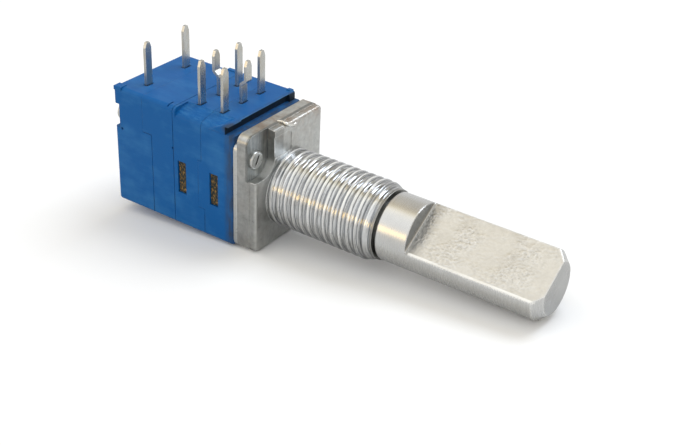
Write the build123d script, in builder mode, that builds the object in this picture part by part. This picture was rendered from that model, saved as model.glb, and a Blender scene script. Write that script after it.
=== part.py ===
from build123d import *
import math
import os

# Potentiometer: two resistive gangs and a rotary switch behind a threaded bushing.
# Millimetres. +X runs along the shaft, +Z is the pin side, +Y is the right side seen
# from the shaft's end. The origin is on the shaft's axis at the plate's front face.

os.makedirs("parts", exist_ok=True)

# Clearances
running_gap = 0.03  # radial, shaft in bushing and bearing
slip_gap = 0.05  # fixed pieces in their pockets
drive_gap = 0.02  # rotors on the shaft's tenon
front_seam_gap = 0.02  # line left between the front and middle mouldings
seam_gap = 0.04  # line left between the other mouldings
brush_gap = 0.03  # brush tips over their tracks

# Body outline
body_width = 9.5
pin_face_z = 6.5
base_z = -4.9
shoulder_drop = 0.14
left_shoulder_y = -3.1
shoulder_fall = 0.3
gang_edge_r = 0.7
gang_right_edge_r = 0.1
switch_edge_r = 0.45
base_edge_r = 0.35

# Lengths of the housings along X, measured where the seams show
front_housing_length = 3.55  # above the high corner of the seam
front_seam_low_step = 0.3
front_seam_mid_step = 0.4
front_seam_high_z = 2.34
front_seam_low_z = -2.3
mid_housing_length = 3.16
mid_lip_length = 0.27  # full-height strip at its rear end
switch_housing_length = 3.54
rear_seam_step = 1.02
rear_seam_z = 3.04
rear_housing_length = 2.75
rear_rim_height = 0.61
rear_edge_r = 0.3

# Bushing: plate in two steps, and threaded barrel
plate_base_length = 1.28
pad_length = 0.67
pad_inset = 0.06
pad_edge_r = 0.3
plate_drop = 0.4  # below the pin face
plate_corner_r = 0.8
plate_right_corner_r = 0.4
thread_d = 7.0
thread_pitch = 0.79
thread_depth = 0.44
thread_root_flat = 0.12
thread_flank_angle = 30
groove_overrun = 0.06
groove_lead_turns = 2  # turns of the groove before the plate's front face
groove_spare_turns = 1
bushing_length = 10.5
nose_length = 0.9
nose_height = 0.38
clip_bore_d = 6.6
clip_bore_depth = 0.85

# Recess in the plate around each case rivet, open to the plate's side and end
recess_depth = 0.85
recess_inner_y = 2.05
recess_low_z = 2.07
recess_corner_r = 1.5

# Square shelf beside the recess, and the strip where the casting gate was trimmed
shelf_length = 0.57
shelf_end_y = -0.82
shelf_drop = 0.1  # below the plate's top
strip_end_y = 0.3
strip_depth = 0.06
strip_low_z = 3.4
strip_high_z = 5.4
strip_corner_r = 0.5

# Ground plate
ground_thickness = 0.4
ground_drop = 1.25  # below the pin face
ground_edge = 0.06

# Case rivets, set in from the body's side and base
rivet_side_inset = 1.0
rivet_base_inset = 1.1
rivet_shank_d = 1.0
rivet_flare_d = 1.6
rivet_flare_height = 0.3
rivet_head_d = 1.7
rivet_head_height = 0.55
rivet_slit_length = 0.95
rivet_slit_width = 0.24
rivet_slit_depth = 0.6
rivet_slit_angle = 62

# Shaft
shaft_d = 6.0
shaft_end_x = 26.05
end_chamfer = 0.75
journal_d = 4.5
across_flat = 4.5
flat_wall_x = 13.88
flat_root_r = 0.22
flat_angle = 121.5
head_edge = 0.08
clip_groove_depth = 0.5
tenon_step = 0.55  # radial, from the journal down to the tenon
tenon_flat = 1.1
pilot_step = 0.8  # radial, from the tenon down to the pilot
pilot_length = 0.6
ground_bore_gap = 0.25  # radial, around the journal

# Washer under the shaft's head, and retaining clip
washer_thickness = 0.2
washer_overhang = 0.12  # radial, past the shaft
washer_lift = 0.02
head_gap = 0.25
clip_thickness = 0.4
clip_bore_gap = 0.25  # radial, inside the bushing's clip bore
clip_opening = 2.6
clip_play = 0.02

# Front top edge of the body: a ledge, a groove above it and a rib over the left shoulder
ledge_length = 0.55
ledge_drop = 0.75  # below the pin face
groove_depth = 0.3
groove_lip = 0.06
groove_end_y = 3.8
front_corner_r = 0.35
block_corner_r = 0.3
rib_length = 0.6
rib_slope_length = 1.6
rib_edge_r = 0.12

# Ears that stand above the right edge of the pin face
ear_width = 0.45
ear_height = 0.9
ear_rise = 0.12
ear_edge_r = 0.1
front_ear_place = 0.3  # behind the block's front
front_ear_length = 0.5
switch_ear_length = 1.4

# Lug on the rear left corner of the pin face, and the mould's slot in the left edge
lug_length = 0.85
lug_width = 0.8
lug_inset = 0.06
lug_height = 0.4
lug_rise = 0.08
lug_edge_r = 0.07
edge_slot_place = 0.61  # behind the middle housing
edge_slot_width = 0.13
edge_slot_length = 0.89
edge_slot_depth = 0.2

# Notches of the rear rim for the rivet heads
notch_inner_y = 2.4
notch_low_z = 2.6
notch_high_z = 4.9

# Cavities
wafer_wall = 0.775  # from the wafer to the mean of the body's side and base
rotor_seat = 0.35  # radial step from the wafer's pocket to the rotor's cavity
wafer_tab_margin = 0.03  # beside the outer pins
wafer_tab_drop = 2.1  # below the pin face
side_tab_high_z = 1.45
side_tab_low_z = -1.55
side_tab_recess = 0.12
window_edge = 0.06

# Wafers and what they carry
wafer_thickness = 0.8
front_rotor_space = 1.8  # from the ground plate to the front wafer
rear_wafer_sink = 0.51  # from the middle housing's rear end to the rear wafer
track_thickness = 0.05
track_width = 0.55
track_gap_angle = 38
ring_space = 0.35  # between the track and the collector ring
collector_width = 0.6
bore_gap = 0.25  # radial, around the tenon

# Terminals
pin_pitch = 2.5
pin_length = 4.0
blade_width = 0.75
blade_thickness = 0.28
tip_cut_length = 0.5
tip_cut_width = 0.2
neck_width = 0.7
pad_angle = 43  # of the outer pads, from the pin side
pad_below = 0.5
kink_height = 1.75
kink_rise = 0.4
kink_offset = 0.5
kink_r = 0.2
switch_blade_sink = 1.05  # behind the rear seam
pin_slot_gap = 0.08

# Eyelets
eyelet_d = 0.56
eyelet_head_d = 0.9
eyelet_head_height = 0.15

# Rotors, wipers and switch
rotor_room = 0.5  # radial, between the gang rotors and their cavity
rotor_thickness = 0.9
rotor_travel = 300
rotor_lug_angle = 24
rotor_lug_gap = 0.1
stop_slack_angle = 1
wiper_lift = 0.55
wiper_thickness = 0.1
wiper_ring_width = 0.65
wiper_arm_width = 0.3
wiper_arm_run = 1.5
wiper_toe = 0.3
switch_rotor_room = 0.4
switch_rotor_end_gap = 0.25
web_thickness = 0.7
arc_room = 0.15  # radial, between the contact arc and the chamber
arc_width = 0.6
contact_space = 0.45  # between the contact arc and the contact ring
ring_width = 0.6
arc_start_angle = 168
arc_end_angle = 78
arc_lead_angle = 4
neck_gap = 0.2

# Marks in the left side
dot_r = 0.12
dot_depth = 0.25
dot_z = 2.55
mid_dot_place = 0.06  # behind the middle housing
rear_dot_place = 0.24  # in front of the rear face

# Derived places
far = 30.0  # larger than the object
body_half = body_width / 2
plate_thickness = plate_base_length + pad_length
plate_top_z = pin_face_z - plate_drop
plate_mid_z = (plate_top_z + base_z) / 2
plate_height = plate_top_z - base_z
shelf_z = plate_top_z - shelf_drop
ground_top_z = pin_face_z - ground_drop
ledge_z = pin_face_z - ledge_drop
wafer_tab_z = pin_face_z - wafer_tab_drop
groove_high_z = pin_face_z - groove_lip
ground_x = -plate_thickness
front_x = ground_x - ground_thickness
block_x = front_x - ledge_length
seam_front_top_x = front_x - front_housing_length
seam_front_low_x = seam_front_top_x + front_seam_low_step
seam_front_mid_x = seam_front_top_x - front_seam_mid_step
seam_mid_x = seam_front_top_x - mid_housing_length
seam_rear_top_x = seam_mid_x - switch_housing_length
seam_rear_low_x = seam_rear_top_x + rear_seam_step
rear_face_x = seam_rear_top_x - rear_housing_length
rivet_y = body_half - rivet_side_inset
rivet_z = -base_z - rivet_base_inset
rivet_hole_r = rivet_shank_d / 2 + running_gap

# Derived sizes of the shaft and the bushing's bore
shaft_r = shaft_d / 2
journal_r = journal_d / 2
clip_groove_r = journal_r - clip_groove_depth
tenon_r = journal_r - tenon_step
pilot_r = tenon_r - pilot_step
flat_offset = across_flat - shaft_r
bushing_bore_r = journal_r + running_gap
washer_x = bushing_length + washer_lift
head_x = washer_x + washer_thickness + head_gap
clip_floor_x = ground_x + clip_bore_depth
clip_x = clip_floor_x - clip_play

# Derived radii of the cavities, tracks and contacts
wafer_r = (body_half - base_z) / 2 - wafer_wall
rotor_cavity_r = wafer_r - rotor_seat
wafer_bore_r = tenon_r + bore_gap
rotor_r = rotor_cavity_r - rotor_room
track_outer_r = rotor_cavity_r - slip_gap
track_inner_r = track_outer_r - track_width
collector_outer_r = track_inner_r - ring_space
collector_inner_r = collector_outer_r - collector_width
arc_outer_r = rotor_cavity_r - arc_room
arc_inner_r = arc_outer_r - arc_width
ring_outer_r = arc_inner_r - contact_space
ring_inner_r = ring_outer_r - ring_width
track_mid_r = (track_outer_r + track_inner_r) / 2
collector_mid_r = (collector_outer_r + collector_inner_r) / 2
arc_mid_r = (arc_outer_r + arc_inner_r) / 2
ring_mid_r = (ring_outer_r + ring_inner_r) / 2

# Derived stations of the inner pieces
front_wafer_x = front_x - front_rotor_space  # face with the track
rear_wafer_x = seam_mid_x + rear_wafer_sink  # face with the track
switch_blade_x = seam_rear_top_x - switch_blade_sink
switch_floor_x = switch_blade_x - blade_thickness
wiper_reach = wiper_lift + wiper_thickness
tenon_x = front_x + running_gap
front_rotor_x = front_wafer_x + track_thickness + wiper_reach
rear_rotor_x = rear_wafer_x - track_thickness - wiper_reach
rear_cavity_x = rear_rotor_x - rotor_thickness - wiper_thickness
switch_chamber_x = rear_cavity_x - web_thickness
switch_rotor_x = switch_blade_x + wiper_reach
switch_rotor_thickness = switch_chamber_x - switch_rotor_end_gap - switch_rotor_x
front_blade_x = front_wafer_x - wafer_thickness
rear_blade_x = rear_wafer_x + wafer_thickness + blade_thickness
spigot_x = front_blade_x - blade_thickness - eyelet_head_height - slip_gap
rear_web_x = rear_blade_x + eyelet_head_height + slip_gap
pin_tip_z = pin_face_z + pin_length
wafer_tab_width = 2 * (pin_pitch + wafer_tab_margin) + blade_width

# Pads of the terminals: the outer two on the track, the middle one on the collector
outer_pad_y = track_mid_r * math.sin(math.radians(pad_angle))
outer_pad_z = track_mid_r * math.cos(math.radians(pad_angle))
pads = {
    -1: (-outer_pad_y, outer_pad_z),
    0: (0, collector_mid_r),
    1: (outer_pad_y, outer_pad_z),
}


def finish(piece, name):
    """Label one finished piece and write it to its own file."""
    piece.part.label = name
    export_step(piece.part, f"parts/{name}.step")


def gang_outline():
    """Outline of the two gang housings in the YZ plane, with a lower left shoulder."""
    shoulder_z = pin_face_z - shoulder_drop
    edge_z = shoulder_z - shoulder_fall
    with BuildSketch() as outline:
        with BuildLine():
            Polyline(
                (-body_half, base_z),
                (-body_half, edge_z),
                (left_shoulder_y, shoulder_z),
                (left_shoulder_y + shoulder_drop, pin_face_z),
                (body_half, pin_face_z),
                (body_half, base_z),
                close=True,
            )
        make_face()
        fillet(outline.vertices().group_by(Axis.Y)[0], base_edge_r)
        top_corners = outline.vertices().filter_by(lambda v: v.Y > ledge_z)
        fillet(top_corners.sort_by(Axis.X)[0], gang_edge_r)
        top_corners = outline.vertices().filter_by(lambda v: v.Y > ledge_z)
        fillet(top_corners.sort_by(Axis.X)[-1], gang_right_edge_r)
    return outline.sketch


def switch_outline():
    """Outline of the switch and rear housings in the YZ plane."""
    with BuildSketch() as outline:
        with Locations((0, (pin_face_z + base_z) / 2)):
            Rectangle(body_width, pin_face_z - base_z)
        fillet(outline.vertices().group_by(Axis.Y)[-1], switch_edge_r)
        fillet(outline.vertices().group_by(Axis.Y)[0], base_edge_r)
    return outline.sketch


def pocket_outline(shrink):
    """Outline of a wafer pocket: a circle with a tab for the terminals."""
    grow = slip_gap - shrink
    with BuildSketch() as outline:
        Circle(wafer_r + grow)
        with Locations((0, wafer_tab_z / 2)):
            Rectangle(wafer_tab_width + 2 * grow, wafer_tab_z + 2 * grow)
    return outline.sketch


def plate_outline(inset):
    """Outline of the bushing's plate in the YZ plane, drawn in by an inset."""
    with BuildSketch() as outline:
        with Locations((0, plate_mid_z)):
            Rectangle(body_width - 2 * inset, plate_height - 2 * inset)
        sides = outline.vertices().group_by(Axis.X)
        fillet(sides[0], plate_corner_r - inset)
        sides = outline.vertices().group_by(Axis.X)
        fillet(sides[-1], plate_right_corner_r - inset)
    return outline.sketch


def recess_outline():
    """Outline of the recess at one corner of the plate, open to the side and the end."""
    with BuildSketch() as outline:
        with Locations((-recess_inner_y, recess_low_z)):
            Rectangle(far, far, align=(Align.MAX, Align.MIN))
        fillet(outline.vertices().group_by(Axis.X)[-1].sort_by(Axis.Y)[0], recess_corner_r)
    return outline.sketch


def rivet_places():
    """Places of the two case rivets in the YZ plane."""
    return [(-rivet_y, rivet_z), (rivet_y, -rivet_z)]


def tenon_outline(gap):
    """Section of the shaft's drive tenon, grown by a gap for the bores on it."""
    with BuildSketch() as outline:
        Circle(tenon_r + gap)
        with Locations((0, -tenon_flat - gap)):
            Rectangle(far, far, align=(Align.CENTER, Align.MAX), mode=Mode.SUBTRACT)
    return outline.sketch


def make_pin_slots(face_x, places):
    """Make the cutter for a row of pins, from the wafer's pocket up through the pin face."""
    with BuildPart() as slots:
        with BuildSketch(Plane.XY.offset(wafer_tab_z)):
            with Locations([(face_x - blade_thickness / 2, place * pin_pitch) for place in places]):
                Rectangle(blade_thickness + 2 * pin_slot_gap, blade_width + 2 * pin_slot_gap)
        extrude(amount=far)
    return slots.part


def make_window(wafer_mid_x):
    """Make the cutter for a wafer's tabs, through both sides of a housing."""
    with BuildPart() as window:
        with BuildSketch(Plane.XZ):
            with Locations((wafer_mid_x, (side_tab_high_z + side_tab_low_z) / 2)):
                Rectangle(
                    wafer_thickness + 2 * window_edge,
                    side_tab_high_z - side_tab_low_z + 2 * window_edge,
                )
        extrude(amount=body_width, both=True)
    return window.part


def make_ear(rear_x, length):
    """Make one ear on the right edge of the pin face, from rear_x forward."""
    with BuildPart() as ear:
        with Locations((rear_x, body_half, pin_face_z + ear_rise)):
            Box(length, ear_width, ear_height, align=(Align.MIN, Align.MAX, Align.MAX))
        fillet(ear.faces().sort_by(Axis.Z)[-1].edges(), ear_edge_r)
    return ear.part


gang_section = gang_outline()
switch_section = switch_outline()
pocket_section = pocket_outline(0)
spigot_section = pocket_outline(slip_gap)
base_section = plate_outline(0)
pad_section = plate_outline(pad_inset)
recess_section = recess_outline()
tenon_section = tenon_outline(0)
tenon_bore = tenon_outline(drive_gap)

with BuildPart() as rivet_holes:
    with BuildSketch(Plane.YZ):
        with Locations(rivet_places()):
            Circle(rivet_hole_r)
    extrude(amount=-far)


# Threaded barrel of the bushing, cut turn by turn with one turn of the groove
half_root = thread_root_flat / 2
flank_rise = math.tan(math.radians(thread_flank_angle))
half_mouth = half_root + flank_rise * (thread_depth + groove_overrun)
turn_path = Helix(
    pitch=thread_pitch,
    height=thread_pitch,
    radius=thread_d / 2,
    center=(-groove_lead_turns * thread_pitch, 0, 0),
    direction=(1, 0, 0),
)
turn_start = turn_path @ 0
turn_plane = Plane(
    origin=turn_start,
    x_dir=turn_start - Vector(turn_start.X, 0, 0),
    z_dir=turn_path % 0,
)
with BuildPart() as groove_turn:
    with BuildSketch(turn_plane):
        with BuildLine():
            Polyline(
                (-thread_depth, -half_root),
                (groove_overrun, -half_mouth),
                (groove_overrun, half_mouth),
                (-thread_depth, half_root),
                close=True,
            )
        make_face()
    sweep(path=turn_path, is_frenet=True)

turn_count = math.ceil(bushing_length / thread_pitch) + groove_lead_turns + groove_spare_turns
with BuildPart() as barrel:
    with BuildSketch(Plane.YZ.offset(ground_x)):
        Circle(thread_d / 2)
    extrude(amount=bushing_length - ground_x)
    barrel_nose = barrel.edges().group_by(Axis.X)[-1]
    barrel_side = barrel.faces().filter_by(GeomType.CYLINDER)[0]
    chamfer(barrel_nose, nose_length, nose_height, reference=barrel_side)
    with Locations([(thread_pitch * turn, 0, 0) for turn in range(turn_count)]):
        add(groove_turn.part, mode=Mode.SUBTRACT)

# Bushing: cast plate in two steps, the rivets' recesses and the barrel
with BuildPart() as bushing:
    with BuildSketch(Plane.YZ.offset(-pad_length)):
        add(base_section)
    extrude(amount=-plate_base_length)
    with BuildSketch(Plane.YZ.offset(-pad_length)):
        add(pad_section)
    extrude(amount=pad_length)
    fillet(bushing.faces().sort_by(Axis.X)[-1].edges(), pad_edge_r)
    with Locations((-shelf_length, -recess_inner_y, 0)):
        Box(
            shelf_length, recess_inner_y + shelf_end_y, shelf_z,
            align=(Align.MIN, Align.MIN, Align.MIN),
        )
    with BuildSketch(Plane.YZ):
        add(recess_section)
        add(recess_section, rotation=180)
    extrude(amount=-recess_depth, mode=Mode.SUBTRACT)
    with BuildSketch(Plane.YZ) as strip:
        with Locations((-recess_inner_y, strip_low_z)):
            Rectangle(
                recess_inner_y + strip_end_y, strip_high_z - strip_low_z,
                align=(Align.MIN, Align.MIN),
            )
        fillet(strip.vertices().group_by(Axis.Y)[-1].sort_by(Axis.X)[-1], strip_corner_r)
    extrude(amount=-strip_depth, mode=Mode.SUBTRACT)
    add(barrel.part)
    with BuildSketch(Plane.YZ.offset(bushing_length)):
        Circle(bushing_bore_r)
    extrude(amount=-far, mode=Mode.SUBTRACT)
    with BuildSketch(Plane.YZ.offset(ground_x)):
        Circle(clip_bore_d / 2)
    extrude(amount=clip_bore_depth, mode=Mode.SUBTRACT)
    add(rivet_holes.part, mode=Mode.SUBTRACT)
finish(bushing, "bushing")

# Ground plate: steel sheet between the bushing and the mouldings
with BuildPart() as ground_plate:
    with BuildSketch(Plane.YZ.offset(ground_x)):
        with Locations((0, (ground_top_z + base_z) / 2)):
            RectangleRounded(body_width, ground_top_z - base_z, plate_corner_r)
    extrude(amount=-ground_thickness)
    chamfer(ground_plate.faces().sort_by(Axis.X)[-1].edges(), ground_edge)
    with BuildSketch(Plane.YZ.offset(ground_x)):
        Circle(journal_r + ground_bore_gap)
        with Locations(rivet_places()):
            Circle(rivet_hole_r)
    extrude(amount=-ground_thickness, mode=Mode.SUBTRACT)
finish(ground_plate, "ground_plate")

# Front housing: holds the front rotor, the front wafer and its terminals
front_window = make_window(front_wafer_x - wafer_thickness / 2)
front_slots = make_pin_slots(front_blade_x, (-1, 0, 1))
front_ear = make_ear(block_x - front_ear_place - front_ear_length, front_ear_length)
stop_half_angle = (360 - rotor_travel - rotor_lug_angle) / 2 - stop_slack_angle
stop_half_width = far * math.tan(math.radians(stop_half_angle))
stop_inner_r = rotor_r + rotor_lug_gap
with BuildPart() as front_rib:
    with BuildSketch(Plane.XZ.offset(body_half)):
        with BuildLine():
            Polyline(
                (block_x, ledge_z),
                (block_x, pin_face_z),
                (block_x - rib_length, pin_face_z),
                (block_x - rib_length - rib_slope_length, ledge_z),
                close=True,
            )
        make_face()
    extrude(amount=-(body_half + left_shoulder_y + shoulder_drop))
    rib_side = front_rib.faces().sort_by(Axis.Y)[0]
    fillet(rib_side.edges().filter_by(Axis.Z, reverse=True).sort_by(Axis.Z)[1:], rib_edge_r)
with BuildPart() as front_housing:
    with BuildSketch(Plane.YZ.offset(front_x)):
        add(gang_section)
    extrude(amount=seam_front_mid_x - front_x)
    with Locations((front_x, 0, ledge_z)):
        Box(
            ledge_length * 2, far, far,
            align=(Align.CENTER, Align.CENTER, Align.MIN), mode=Mode.SUBTRACT,
        )
    upright_edges = front_housing.edges().filter_by(Axis.Z).group_by(Axis.X)
    fillet(upright_edges[-2].sort_by(Axis.Y)[-1], block_corner_r)
    upright_edges = front_housing.edges().filter_by(Axis.Z).group_by(Axis.X)
    fillet(upright_edges[-1], front_corner_r)
    add(front_rib.part)
    with BuildSketch(Plane.YZ.offset(block_x)):
        with Locations((groove_end_y, ledge_z)):
            Rectangle(far, groove_high_z - ledge_z, align=(Align.MAX, Align.MIN))
    extrude(amount=-groove_depth, mode=Mode.SUBTRACT)
    with Locations((seam_front_mid_x, 0, front_seam_high_z)):
        Box(
            2 * (seam_front_top_x - seam_front_mid_x), far, far,
            align=(Align.CENTER, Align.CENTER, Align.MIN), mode=Mode.SUBTRACT,
        )
    with Locations((seam_front_mid_x, 0, front_seam_low_z)):
        Box(
            2 * (seam_front_low_x - seam_front_mid_x), far, far,
            align=(Align.CENTER, Align.CENTER, Align.MAX), mode=Mode.SUBTRACT,
        )
    with BuildSketch(Plane.YZ.offset(front_x)):
        Circle(rotor_cavity_r)
    extrude(amount=front_wafer_x - front_x, mode=Mode.SUBTRACT)
    with BuildSketch(Plane.YZ.offset(front_wafer_x + track_thickness)):
        add(pocket_section)
    extrude(amount=-far, mode=Mode.SUBTRACT)
    with BuildSketch(Plane.YZ.offset(front_x)) as stop:
        Circle(rotor_cavity_r + slip_gap)
        Circle(stop_inner_r, mode=Mode.SUBTRACT)
        with BuildLine():
            Polyline((0, 0), (stop_half_width, far), (-stop_half_width, far), close=True)
        make_face(mode=Mode.INTERSECT)
    extrude(amount=-rotor_thickness)
    add(rivet_holes.part, mode=Mode.SUBTRACT)
    add(front_ear)
    add(front_window, mode=Mode.SUBTRACT)
    add(front_slots, mode=Mode.SUBTRACT)
finish(front_housing, "front_housing")

# Middle housing: plugs into the front one, holds the rear wafer and its terminals
rear_window = make_window(rear_wafer_x + wafer_thickness / 2)
rear_slots = make_pin_slots(rear_blade_x, (-1, 0, 1))
with BuildPart() as mid_housing:
    with BuildSketch(Plane.YZ.offset(seam_front_low_x - front_seam_gap)):
        add(gang_section)
    extrude(amount=seam_mid_x - seam_front_low_x + front_seam_gap)
    with BuildSketch(Plane.YZ.offset(seam_mid_x + mid_lip_length)):
        add(switch_section)
    extrude(amount=-mid_lip_length)
    with Locations((seam_front_low_x, 0, front_seam_low_z - front_seam_gap)):
        Box(
            2 * (seam_front_low_x - seam_front_top_x + front_seam_gap), far, far,
            align=(Align.CENTER, Align.CENTER, Align.MIN), mode=Mode.SUBTRACT,
        )
    with Locations((seam_front_low_x, 0, (front_seam_high_z + front_seam_low_z) / 2)):
        Box(
            2 * (seam_front_low_x - seam_front_mid_x), far,
            front_seam_high_z - front_seam_low_z + 2 * front_seam_gap, mode=Mode.SUBTRACT,
        )
    with BuildSketch(Plane.YZ.offset(spigot_x)):
        add(spigot_section)
    extrude(amount=seam_front_mid_x - spigot_x)
    with BuildSketch(Plane.YZ.offset(rear_web_x)):
        add(pocket_section)
    extrude(amount=-far, mode=Mode.SUBTRACT)
    with BuildSketch(Plane.YZ):
        Circle(wafer_bore_r)
    extrude(amount=-far, mode=Mode.SUBTRACT)
    add(rivet_holes.part, mode=Mode.SUBTRACT)
    add(rear_window, mode=Mode.SUBTRACT)
    add(rear_slots, mode=Mode.SUBTRACT)
finish(mid_housing, "mid_housing")

# Switch housing: closes the rear gang and starts the switch chamber
switch_ear = make_ear(seam_mid_x - seam_gap - switch_ear_length, switch_ear_length)
with BuildPart() as switch_housing:
    with BuildSketch(Plane.YZ.offset(seam_mid_x - seam_gap)):
        add(switch_section)
    extrude(amount=seam_rear_top_x - seam_mid_x + seam_gap)
    with Locations((seam_rear_top_x, 0, rear_seam_z)):
        Box(
            2 * (seam_rear_low_x - seam_rear_top_x), far, far,
            align=(Align.CENTER, Align.CENTER, Align.MAX), mode=Mode.SUBTRACT,
        )
    with BuildSketch(Plane.YZ.offset(rear_wafer_x - track_thickness)):
        add(spigot_section)
    extrude(amount=seam_mid_x - seam_gap - rear_wafer_x + track_thickness)
    with BuildSketch(Plane.YZ.offset(rear_wafer_x)):
        Circle(rotor_cavity_r)
    extrude(amount=rear_cavity_x - rear_wafer_x, mode=Mode.SUBTRACT)
    with BuildSketch(Plane.YZ.offset(switch_chamber_x)):
        Circle(rotor_cavity_r)
    extrude(amount=-far, mode=Mode.SUBTRACT)
    with BuildSketch(Plane.YZ):
        Circle(wafer_bore_r)
    extrude(amount=-far, mode=Mode.SUBTRACT)
    add(rivet_holes.part, mode=Mode.SUBTRACT)
    add(switch_ear)
    with Locations((seam_mid_x - edge_slot_place, -body_half, pin_face_z)):
        Box(edge_slot_width, 2 * edge_slot_length, 2 * edge_slot_depth, mode=Mode.SUBTRACT)
    with Locations((seam_mid_x - mid_dot_place, -body_half, dot_z)):
        Cylinder(dot_r, 2 * dot_depth, rotation=(90, 0, 0), mode=Mode.SUBTRACT)
finish(switch_housing, "switch_housing")

# Rear housing: carries the switch terminals, the shaft's pilot and the rear rim
switch_slots = make_pin_slots(switch_blade_x, (-1, 1))
rim_x = rear_face_x - rear_rim_height
with BuildPart() as corner_lug:
    with Locations((rim_x + lug_inset, -body_half, pin_face_z + lug_rise)):
        Box(lug_length, lug_width, lug_height, align=(Align.MIN, Align.MIN, Align.MAX))
    fillet(corner_lug.faces().sort_by(Axis.Z)[-1].edges(), lug_edge_r)
with BuildPart() as rear_housing:
    with BuildSketch(Plane.YZ.offset(seam_rear_low_x - seam_gap)):
        add(switch_section)
    extrude(amount=rim_x - seam_rear_low_x + seam_gap)
    fillet(rear_housing.faces().sort_by(Axis.X)[0].edges(), rear_edge_r)
    with Locations((seam_rear_low_x, 0, rear_seam_z - seam_gap)):
        Box(
            2 * (seam_rear_low_x - seam_rear_top_x), far, far,
            align=(Align.CENTER, Align.CENTER, Align.MIN), mode=Mode.SUBTRACT,
        )
    add(corner_lug.part)
    with BuildSketch(Plane.YZ.offset(rear_face_x)):
        with Locations((-notch_inner_y, notch_low_z)):
            Rectangle(far, notch_high_z - notch_low_z, align=(Align.MAX, Align.MIN))
        with Locations((notch_inner_y, -notch_low_z)):
            Rectangle(far, notch_high_z - notch_low_z, align=(Align.MIN, Align.MAX))
    extrude(amount=-far, mode=Mode.SUBTRACT)
    with BuildSketch(Plane.YZ.offset(rear_cavity_x)):
        Circle(rotor_cavity_r)
    extrude(amount=switch_floor_x - rear_cavity_x, mode=Mode.SUBTRACT)
    with BuildSketch(Plane.YZ.offset(switch_blade_x + neck_gap)):
        add(pocket_section)
    extrude(amount=-blade_thickness - neck_gap, mode=Mode.SUBTRACT)
    with BuildSketch(Plane.YZ.offset(switch_floor_x)):
        Circle(pilot_r + running_gap)
    extrude(amount=-pilot_length - running_gap, mode=Mode.SUBTRACT)
    add(rivet_holes.part, mode=Mode.SUBTRACT)
    add(switch_slots, mode=Mode.SUBTRACT)
    with Locations((rear_face_x + rear_dot_place, -body_half, dot_z)):
        Cylinder(dot_r, 2 * dot_depth, rotation=(90, 0, 0), mode=Mode.SUBTRACT)
finish(rear_housing, "rear_housing")

# Case rivets: flared and slit in front, domed behind
with BuildPart() as case_rivets:
    with BuildSketch(Plane.YZ.offset(-recess_depth + rivet_flare_height)):
        with Locations(rivet_places()):
            Circle(rivet_flare_d / 2)
    extrude(amount=-rivet_flare_height)
    fillet(case_rivets.edges().group_by(Axis.X)[-1], rivet_flare_height / 2)
    with BuildSketch(Plane.YZ.offset(rear_face_x)):
        with Locations(rivet_places()):
            Circle(rivet_head_d / 2)
    extrude(amount=-rivet_head_height)
    fillet(case_rivets.edges().group_by(Axis.X)[0], rivet_head_height / 2)
    with BuildSketch(Plane.YZ.offset(-recess_depth)):
        with Locations(rivet_places()):
            Circle(rivet_shank_d / 2)
    extrude(amount=rear_face_x + recess_depth)
    with BuildSketch(Plane.YZ.offset(-recess_depth + rivet_flare_height)):
        with Locations([Location((y, z), rivet_slit_angle) for y, z in rivet_places()]):
            SlotOverall(rivet_slit_length, rivet_slit_width)
    extrude(amount=-rivet_slit_depth, mode=Mode.SUBTRACT)
finish(case_rivets, "case_rivets")

# Wafers, their tracks and their eyelets, one set for each gang
eyelet_places = list(pads.values())
eyelet_hole_r = eyelet_d / 2 + drive_gap
eyelet_head_hole_r = eyelet_head_d / 2 + drive_gap
gap_half_width = far * math.tan(math.radians(track_gap_angle))
eyelet_shank_length = wafer_thickness + blade_thickness
gangs = {
    "front": (front_wafer_x, 1),
    "rear": (rear_wafer_x, -1),
}
for gang, (track_face_x, side) in gangs.items():
    with BuildPart() as wafer:
        with BuildSketch(Plane.YZ.offset(track_face_x)):
            add(spigot_section)
            with Locations((0, (side_tab_high_z + side_tab_low_z) / 2)):
                Rectangle(body_width - 2 * side_tab_recess, side_tab_high_z - side_tab_low_z)
            Circle(wafer_bore_r, mode=Mode.SUBTRACT)
            with Locations(eyelet_places):
                Circle(eyelet_hole_r, mode=Mode.SUBTRACT)
        extrude(amount=-side * wafer_thickness)
    finish(wafer, f"{gang}_wafer")

    with BuildPart() as track:
        with BuildSketch(Plane.YZ.offset(track_face_x)):
            Circle(track_outer_r)
            Circle(track_inner_r, mode=Mode.SUBTRACT)
            with BuildLine():
                Polyline((0, 0), (gap_half_width, far), (-gap_half_width, far), close=True)
            make_face(mode=Mode.SUBTRACT)
            with Locations(eyelet_places):
                Circle(eyelet_head_hole_r, mode=Mode.SUBTRACT)
        extrude(amount=side * track_thickness)
    finish(track, f"{gang}_resistive_track")

    with BuildPart() as collector:
        with BuildSketch(Plane.YZ.offset(track_face_x)):
            Circle(collector_outer_r)
            Circle(collector_inner_r, mode=Mode.SUBTRACT)
            with Locations(eyelet_places):
                Circle(eyelet_head_hole_r, mode=Mode.SUBTRACT)
        extrude(amount=side * track_thickness)
    finish(collector, f"{gang}_collector_ring")

    with BuildPart() as eyelets:
        with BuildSketch(Plane.YZ.offset(track_face_x)):
            with Locations(eyelet_places):
                Circle(eyelet_head_d / 2)
        extrude(amount=side * track_thickness)
        with BuildSketch(Plane.YZ.offset(track_face_x)):
            with Locations(eyelet_places):
                Circle(eyelet_d / 2)
        extrude(amount=-side * eyelet_shank_length)
        with BuildSketch(Plane.YZ.offset(track_face_x - side * eyelet_shank_length)):
            with Locations(eyelet_places):
                Circle(eyelet_head_d / 2)
        extrude(amount=-side * eyelet_head_height)
    finish(eyelets, f"{gang}_eyelets")


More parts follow.
